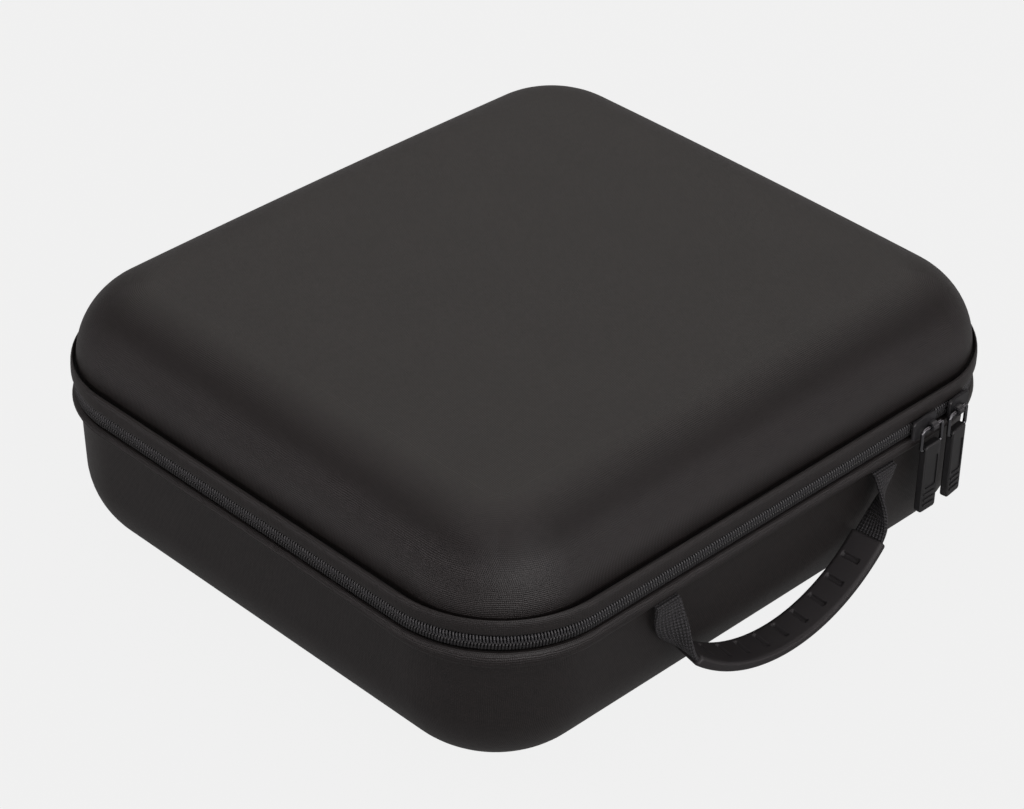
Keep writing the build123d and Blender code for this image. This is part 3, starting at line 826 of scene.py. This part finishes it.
def turn_bar(sign):
    """Points of one turn, as (along the chain, out of the rim, up), and its faces."""
    points, faces = [], []
    for station in range(bar_stations):
        share = station / (bar_stations - 1)
        height = coil_outer + (-head_past - coil_outer) * share
        arch = -coil_face - turn_half - 0.9 * MM * (2 * share - 1) ** 4
        width = turn_half * (0.86 + 0.24 * share ** 3)
        slant = 0.3 * turn_pitch * (share - 0.5)
        for side in range(bar_sides):
            angle = tau * side / bar_sides
            points.append((slant + width * cos(angle), arch + turn_half * sin(angle), sign * height))
    for station in range(bar_stations - 1):
        low = station * bar_sides
        for side in range(bar_sides):
            j = (side + 1) % bar_sides
            faces.append((low + side, low + j, low + bar_sides + j, low + bar_sides + side))
    faces.append(tuple(range(bar_sides)))
    faces.append(tuple(range((bar_stations - 1) * bar_sides, bar_stations * bar_sides)))
    return np.array(points), faces


print("a turn has", len(turn_bar(1)[0]), "points")

# %% [markdown]
# ## Coil on both shells
# The turns are copied along the walk.  The base's row is set off by half a turn, so that the heads of
# the two rows lie between each other.

# %% Coil on both shells
coil_end_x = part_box("zip_end_stops")[1].x
coil_reach = walk_half - coil_end_x
for body, sign, offset in (("lid", 1, 0.0), ("base", -1, turn_pitch / 2)):
    bar, bar_faces = turn_bar(sign)
    points, faces = [], []
    for run in np.arange(-coil_reach + offset, coil_reach, turn_pitch):
        point, out = rim_place(run)
        forward = np.array((-out[1], out[0]))
        flat = point + np.outer(bar[:, 0], forward) + np.outer(bar[:, 1], out)
        first = len(points) * len(bar)
        points.append(lifted(flat, zip_height + bar[:, 2]))
        faces += [tuple(first + i for i in face) for face in bar_faces]
    piece = new_piece(f"{body}_coil_turns", np.concatenate(points), faces, [nylon])
    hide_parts(f"{body}_zip_coil")
    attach(piece, body)
    print(body, "coil:", len(points), "turns")

# %% [markdown]
# ## Sliders, loops and pull tabs
# These are hard, so the CAD meshes stay and only get a finish.  The sliders and the end stops are cast
# and enamelled, the loops are plated steel wire, and the tabs are moulded from soft PVC.

# %% Hardware finishes
# Stove enamel on zinc: black and satin, paler on the edges: partly rubbed wear, partly painted highlight
satin_enamel = moulded("satin_black_enamel", "#1c1c1d", 0.34, 0.5 * MM, 0.12, wear_and_highlight="#38383a")
# Gunmetal plating: a dark mirror with sharp glints; its paler edges are partly wear, partly painted highlight
gunmetal = moulded("gunmetal_plated_steel", "#77777a", 0.24, 0.6 * MM, 0.05, wear_and_highlight="#a5a5a8", metallic=1.0)
# Soft PVC: a fine moulded grain under a thin, oily shine; paler edges, partly wear, partly painted highlight
soft_pvc = moulded("moulded_soft_pvc", "#1d1d1e", 0.4, 0.35 * MM, 0.25, coat=0.15, wear_and_highlight="#303031")
finishes = {
    "left_slider": satin_enamel, "right_slider": satin_enamel, "zip_end_stops": satin_enamel,
    "left_pull_loop": gunmetal, "right_pull_loop": gunmetal,
    "left_pull_tab": soft_pvc, "right_pull_tab": soft_pvc,
}
for name, material in finishes.items():
    mesh = frame["nodes"][name].data
    mesh.materials.clear()
    mesh.materials.append(material)
print("finished", len(finishes), "hard pieces")

# %% [markdown]
# ## Line of the handle
# The handle hangs on two sewn roots.  Its middle is an arc, and from each end of it a tail twists by a
# quarter turn on its way up to the root.  The line is the same as in the CAD model: an arc, and for each
# tail a cubic curve, which leaves along the arc and arrives straight.

# %% Handle frame
handle_joint = next(joint for joint in frame["joints"] if joint["name"] == "handle_swing")
handle_root = np.array(handle_joint["pos_m"])
handle_hang = radians(84)
strap_spacing, strap_width, strap_thickness = 123 * MM, 12 * MM, 1.8 * MM
grip_chord, grip_drop, grip_sag, grip_tilt = 104 * MM, 26 * MM, 20 * MM, radians(13)
grip_width, grip_thickness, grip_round = 15 * MM, 4.6 * MM, 1.8 * MM
handle_x = np.array((1.0, 0.0, 0.0))
handle_out = np.array((0.0, -sin(handle_hang), cos(handle_hang)))
handle_up = np.cross(handle_out, handle_x)
to_case = np.column_stack((handle_x, handle_up, handle_out))
grip_radius = (grip_chord ** 2 / 4 + grip_sag ** 2) / (2 * grip_sag)
grip_half = asin(grip_chord / 2 / grip_radius)
arc_height = grip_radius - grip_drop - grip_sag


def grip_frame(angle):
    """Point, width and thickness directions of the grip at an angle along its arc."""
    point = np.array((grip_radius * sin(angle), arc_height - grip_radius * cos(angle), 0))
    across = np.array((sin(grip_tilt) * sin(angle), -sin(grip_tilt) * cos(angle), cos(grip_tilt)))
    along = np.array((cos(angle), sin(angle), 0))
    return point, across, np.cross(along, across)


def tail_frame(side, share):
    """The same for a tail, from the end of the grip (share 0) to its root (share 1)."""
    turn = side * grip_half
    start = np.array((side * grip_chord / 2, -grip_drop, 0))
    end = np.array((side * strap_spacing / 2, 0, 0))
    leave = np.array((side * cos(turn), side * sin(turn), 0)) * grip_drop
    arrive = np.array((0, grip_drop, 0))
    s2, s3 = share ** 2, share ** 3
    point = (start * (2 * s3 - 3 * s2 + 1) + leave * (s3 - 2 * s2 + share)
             + end * (3 * s2 - 2 * s3) + arrive * (s3 - s2))
    along = (start * (6 * s2 - 6 * share) + leave * (3 * s2 - 4 * share + 1)
             + end * (6 * share - 6 * s2) + arrive * (3 * s2 - 2 * share))
    along = side * along / np.linalg.norm(along)
    grip_side = grip_frame(turn)[1]
    across = grip_side * cos(pi / 2 * share) - side * handle_x * sin(pi / 2 * share)
    across = across - along * across.dot(along)
    across = across / np.linalg.norm(across)
    return point, across, np.cross(along, across)


def placed(section, point, across, thick):
    """Section points, (over the width, over the thickness), set in the case's frame."""
    local = point + np.outer(section[:, 0], across) + np.outer(section[:, 1], thick)
    return handle_root + local @ to_case.T


print(f"grip: radius {1000 * grip_radius:.0f} mm over {2 * np.degrees(grip_half):.0f} degrees")

# %% [markdown]
# ## Strap's shape
# The strap is one length of webbing.  It runs up one tail, through the grip and down the other tail,
# and both ends are tucked under the band of the base.  A flat section with thinner edges is carried
# along the handle's line.

# %% Sections of the strap
webbing_section = []
for i in range(9):
    webbing_section.append((strap_width * (i / 8 - 0.5), -strap_thickness / 2))
webbing_section.append((strap_width * 0.5 + 0.35 * MM, 0))
for i in range(9):
    webbing_section.append((strap_width * (0.5 - i / 8), strap_thickness / 2))
webbing_section.append((-strap_width * 0.5 - 0.35 * MM, 0))
webbing_section = np.array(webbing_section)

left_tail = [tail_frame(-1, share) for share in np.linspace(1, 0, 26)[:-1]]
arc = [grip_frame(angle) for angle in np.linspace(-grip_half, grip_half, 40)]
right_tail = [tail_frame(1, share) for share in np.linspace(0, 1, 26)[1:]]
frames = left_tail + arc + right_tail
sections = [placed(webbing_section, *at) for at in frames]
tuck = [np.array((0, 1.3 * MM, 0.55 * MM)), np.array((0, 3.0 * MM, 0.6 * MM))]
sections = ([sections[0] + step for step in tuck[::-1]] + sections + [sections[-1] + step for step in tuck])
print("strap:", len(sections), "sections")

# %% [markdown]
# ## Strap
# Nylon webbing is woven from thick threads, so each crossing stands out as a bead.  The threads are
# drawn 1.4 mm apart, coarser than real ones, so that they show.  Near its roots the strap bends, but
# here it is one mesh, attached to neither the base nor the handle.


# %% Webbing and strap
def ribbed_webbing(name, dark, pale, pitch):
    """Nylon webbing: thick threads in rows, so each crossing stands out as a bead."""
    material, tree = new_material(name)
    weave = weave_height(tree, pitch, 0.15 * pitch)
    # The colour follows the weave's height: painted shade in the gaps between threads, grey on the beads
    share = node(tree, "ShaderNodeMapRange", {"Value": weave.outputs[0], "From Min": 0.5, "From Max": 1.8})
    tint = node(tree, "ShaderNodeMix", {0: share.outputs[0], 6: linear(dark), 7: linear(pale)},
                data_type="RGBA")
    bump = node(tree, "ShaderNodeBump", {"Height": weave.outputs[0], "Strength": 1.0, "Distance": 0.3 * MM})
    shader = node(tree, "ShaderNodeBsdfPrincipled", {
        "Base Color": tint.outputs[2], "Roughness": 0.6, "Normal": bump.outputs[0], "Sheen Weight": 0.05,
    })
    finish_material(tree, shader)
    return material


# Nylon webbing: painted shade in the gaps, grey beads, and a dull shine
nylon_webbing = ribbed_webbing("ribbed_nylon_webbing", "#101010", "#38373a", 1.4 * MM)
strap_piece = skin("handle_webbing", sections, [nylon_webbing])
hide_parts("handle_strap")
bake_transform(strap_piece)
print("strap:", len(strap_piece.data.polygons), "faces")

# %% [markdown]
# ## Grip's section
# The grip is moulded from rubber round the strap: an arched band with rounded edges.  Its inner face,
# where the fingers go, has nine short grooves.  Points that lie close together on that face let the
# grooves be pressed in with soft edges, without cutting the mesh.

# %% Section of the grip
groove_count, groove_pitch = 9, radians(8.4)
groove_width, groove_length, groove_depth, groove_shift = 2.0 * MM, 7.5 * MM, 1.2 * MM, 1.2 * MM
groove_angles = [(i - (groove_count - 1) / 2) * groove_pitch for i in range(groove_count)]


def grip_outline():
    """Section of the grip, starting with close points along its inner face."""
    flat_x, flat_y = grip_width / 2 - grip_round, grip_thickness / 2 - grip_round
    points = [(x, -grip_thickness / 2) for x in np.linspace(-flat_x, flat_x, 40)]
    for centre_x, centre_y, start in ((flat_x, -flat_y, -pi / 2), (flat_x, flat_y, 0),
                                      (-flat_x, flat_y, pi / 2), (-flat_x, -flat_y, pi)):
        for step in range(1, 8):
            angle = start + pi / 2 * step / 8
            points.append((centre_x + grip_round * cos(angle), centre_y + grip_round * sin(angle)))
        if start == 0:
            points += [(x, grip_thickness / 2) for x in np.linspace(flat_x, -flat_x, 10)]
    return np.array(points)


def soft_step(value, edge, softness):
    """1 inside an edge, 0 outside it, with a smooth change between."""
    t = np.clip((edge + softness / 2 - value) / softness, 0, 1)
    return t * t * (3 - 2 * t)


print(f"grooves: {groove_count}, {1000 * groove_depth:.1f} mm deep")

# %% [markdown]
# ## Grip
# The section is carried along the arc in close steps.  Near a groove the inner face is pressed in, and
# at both ends the section shrinks along a quarter circle, which rounds the ends as the mould does.

# %% Grip
outline = grip_outline()
inner_face = outline[:, 1] <= -grip_thickness / 2 + 1e-9
sections = []
end_round = 1.2 * MM
grip_angles = np.linspace(-grip_half, grip_half, 340)
for angle in grip_angles:
    reach = min(abs(angle - groove) for groove in groove_angles) * grip_radius
    press = soft_step(reach, groove_width / 2, 0.35 * MM)
    press = press * soft_step(np.abs(outline[:, 0] + groove_shift), groove_length / 2, 0.6 * MM) * inner_face
    from_end = (grip_half - abs(angle)) * grip_radius
    pinch = 1 - sqrt(max(0.0, 1 - (1 - min(from_end / end_round, 1)) ** 2))
    shrink = 2 * pinch * end_round / np.array((grip_width, grip_thickness))
    pressed = outline * (1 - shrink)
    pressed = pressed + np.column_stack((np.zeros(len(outline)), press * groove_depth))
    sections.append(placed(pressed, *grip_frame(angle)))
# Moulded rubber: matt with a fine grain; the paler rounded edges are painted highlight and rubbed wear
matt_rubber = moulded("matt_moulded_rubber", "#272526", 0.5, 0.5 * MM, 0.3, wear_and_highlight="#3a3839")
grip_piece = skin("handle_grip_rubber", sections, [matt_rubber])
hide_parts("handle_grip")
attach(grip_piece, "handle")
print("grip:", len(grip_piece.data.polygons), "faces")

# %% [markdown]
# ## Tray's shape
# The tray is cut from soft foam.  Cut foam has no sharp edges, so the CAD solid is copied, remeshed at
# 2.4 mm and smoothed, which rounds every edge a little.

# %% Soft mesh of the tray
tray_source = frame["nodes"]["foam_tray"]
tray_mesh = tray_source.data.copy()
tray_mesh.materials.clear()
tray_work = bpy.data.objects.new("tray_work", tray_mesh)
bpy.context.scene.collection.objects.link(tray_work)
remesh = tray_work.modifiers.new("even_skin", "REMESH")
remesh.mode = "VOXEL"
remesh.voxel_size = 2.4 * MM
soften = tray_work.modifiers.new("soft_edges", "SMOOTH")
soften.iterations = 3
soften.factor = 0.5
graph = bpy.context.evaluated_depsgraph_get()
foam_mesh = bpy.data.meshes.new_from_object(tray_work.evaluated_get(graph))
bpy.data.objects.remove(tray_work)
foam_mesh.name = "foam_tray_soft"
print("tray:", len(foam_mesh.polygons), "faces")

# %% [markdown]
# ## Foam tray
# The foam is laminated with brushed nylon.  Its short pile lies in strokes, and the patches that would
# catch the light are painted paler.  A fine noise gives the pile and a broad one the strokes.


# %% Foam tray
def brushed_foam(name, dark, pale):
    """Foam with a brushed nylon face: short pile, painted paler in patches where it would catch the light."""
    material, tree = new_material(name)
    spot = node(tree, "ShaderNodeTexCoord")
    pile = node(tree, "ShaderNodeTexNoise",
                {"Vector": spot.outputs["Object"], "Scale": 1 / (1.1 * MM), "Detail": 4.0, "Roughness": 0.7})
    stroke = node(tree, "ShaderNodeTexNoise", {
        "Vector": spot.outputs["Object"], "Scale": 1 / (26 * MM), "Detail": 2.0, "Distortion": 0.8})
    # Pale patches, where pile and strokes meet, are a painted sheen
    share = node(tree, "ShaderNodeMath", {0: pile.outputs[0], 1: stroke.outputs[0]}, operation="MULTIPLY")
    spread = node(tree, "ShaderNodeMapRange", {"Value": share.outputs[0], "From Min": 0.1, "From Max": 0.45})
    tint = node(tree, "ShaderNodeMix", {0: spread.outputs[0], 6: linear(dark), 7: linear(pale)},
                data_type="RGBA")
    bump = node(tree, "ShaderNodeBump", {"Height": pile.outputs[0], "Strength": 0.6, "Distance": 0.3 * MM})
    shader = node(tree, "ShaderNodeBsdfPrincipled", {
        "Base Color": tint.outputs[2], "Roughness": 0.92, "Normal": bump.outputs[0],
        "Specular IOR Level": 0.25, "Sheen Weight": 0.35, "Sheen Roughness": 0.4,
        "Sheen Tint": linear("#8a8a8c"),
    })
    finish_material(tree, shader)
    return material


# Brushed nylon on foam: dark grey and soft, with a painted sheen in pale patches of the pile
brushed_nylon = brushed_foam("brushed_nylon_on_foam", "#2b2b2c", "#47474a")
foam_mesh.materials.clear()
foam_mesh.materials.append(brushed_nylon)
foam_mesh.polygons.foreach_set("use_smooth", [True] * len(foam_mesh.polygons))
tray_piece = bpy.data.objects.new("foam_tray_soft", foam_mesh)
bpy.context.scene.collection.objects.link(tray_piece)
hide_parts("foam_tray")
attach(tray_piece, "base")
print("tray dressed in", brushed_nylon.name)

# %% [markdown]
# ## Outline of the net pocket
# The pocket covers the lid's opening but for a gap in front, where a hand reaches in.  Its front edge
# is a shallow bow, because the elastic in the hem pulls its middle back.

# %% Outline of the net
net_low, net_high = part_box("mesh_pocket")
hem_low, hem_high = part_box("pocket_hem")
net_level = (net_low.z + net_high.z) / 2
net_form = (net_high.x, net_high.y, lid_form[2] - (lid_form[0] - net_high.x))
net_bow = 14 * MM
hem_middle = net_high.y - 160 * MM + net_bow
hem_radius = (4 * net_high.x ** 2 + net_bow ** 2) / (2 * net_bow)


def hem_line(x):
    """The bowed edge's y at an x; it is highest in the middle."""
    return hem_middle - (hem_radius - np.sqrt(hem_radius ** 2 - x ** 2))


def inside_net(x, y):
    """True where the net is: inside the lid's rounded outline and behind the bowed edge."""
    reach_x, reach_y, corner = net_form
    over_x, over_y = max(abs(x) - reach_x + corner, 0), max(abs(y) - reach_y + corner, 0)
    return over_x ** 2 + over_y ** 2 <= corner ** 2 and y >= hem_line(x)


print(f"net's middle edge at y = {1000 * hem_line(0):.0f} mm")

# %% [markdown]
# ## Net
# The net is knitted with open diamonds of about 3 mm.  A see-through texture would be lighter, but at
# a low angle it looks flat, so the threads are real geometry: one thin three-sided bar for each side
# of each diamond.

# %% Net
cell = 3.2 * MM
thread = 0.28 * MM
knots = {}
columns, lines = int(net_high.x / cell), int(2 * net_high.y / cell)
for i in range(-2 * columns, 2 * columns + 1):
    for j in range(-2 * lines, 2 * lines + 1):
        x, y = i * cell / 2, j * cell / 2
        if (i + j) % 2 == 0 and inside_net(x, y):
            knots[i, j] = np.array((x, y, net_level))
points, faces = [], []
for (i, j), knot in knots.items():
    for step in (1, -1):
        other = knots.get((i + 1, j + step))
        if other is None:
            continue
        along = other - knot
        aside = np.array((-along[1], along[0], 0)) / np.linalg.norm(along) * thread
        first = len(points)
        for end_point in (knot, other):
            points += [end_point + aside, end_point - aside, end_point + np.array((0, 0, 1.4 * thread))]
        faces += [(first + a, first + b, first + b + 3, first + a + 3) for a, b in ((0, 1), (1, 2), (2, 0))]
# Knitted polyester net: dark grey threads that look like a veil from afar
knitted_net = moulded("knitted_polyester_net", "#3a3a3c", 0.6, 0.4 * MM, 0.3)
net_piece = new_piece("pocket_net_threads", points, faces, [knitted_net])
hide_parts("mesh_pocket")
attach(net_piece, "lid")
print("net:", len(knots), "knots")

# %% [markdown]
# ## Tape round the net
# A sewn tape holds the net to the lid on three sides.  It is a flat strip along the net's outline.

# %% Tape round the net
frame_width, frame_thick = 5 * MM, 0.5 * MM
edge_ring = [point for point in ring(net_form) if point[1] > hem_line(point[0])]
start = min(range(len(edge_ring)), key=lambda i: edge_ring[i][1] - 1000 * (edge_ring[i][0] > 0))
edge_ring = edge_ring[start:] + edge_ring[:start]
sections = []
for i, point in enumerate(edge_ring):
    before, after = edge_ring[max(i - 1, 0)], edge_ring[min(i + 1, len(edge_ring) - 1)]
    way = (after - before) / np.linalg.norm(after - before)
    inward = np.array((-way[1], way[0]))
    sections.append(np.array([
        (*point, net_level - frame_thick), (*(point + inward * frame_width), net_level - frame_thick),
        (*(point + inward * frame_width), net_level + frame_thick), (*point, net_level + frame_thick)]))
frame_piece = skin("pocket_frame_tape", sections, [knit_binding])
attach(frame_piece, "lid")
print("tape:", len(edge_ring), "places")

# %% [markdown]
# ## Hem of the net
# A gathered elastic hem runs along the bowed edge.  A wave in its thickness, 3.1 mm long, gives the
# gathers.

# %% Hem of the net
hem_width = 5 * MM
sections = []
for x in np.linspace(-net_high.x + 1 * MM, net_high.x - 1 * MM, 420):
    gather = 0.22 * MM * sin(tau * x / (3.1 * MM))
    y = hem_line(x)
    half = (hem_high.z - hem_low.z) / 2 - 0.3 * MM + gather
    middle = (hem_low.z + hem_high.z) / 2
    sections.append(np.array([
        (x, y - hem_width / 2 * (1 + cos(angle)), middle + half * sin(angle))
        for angle in np.linspace(0, tau, 14)[:-1]]))
hem_piece = skin("pocket_hem_elastic", sections, [knit_binding])
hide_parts("pocket_hem")
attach(hem_piece, "lid")
print("hem:", len(sections), "sections")
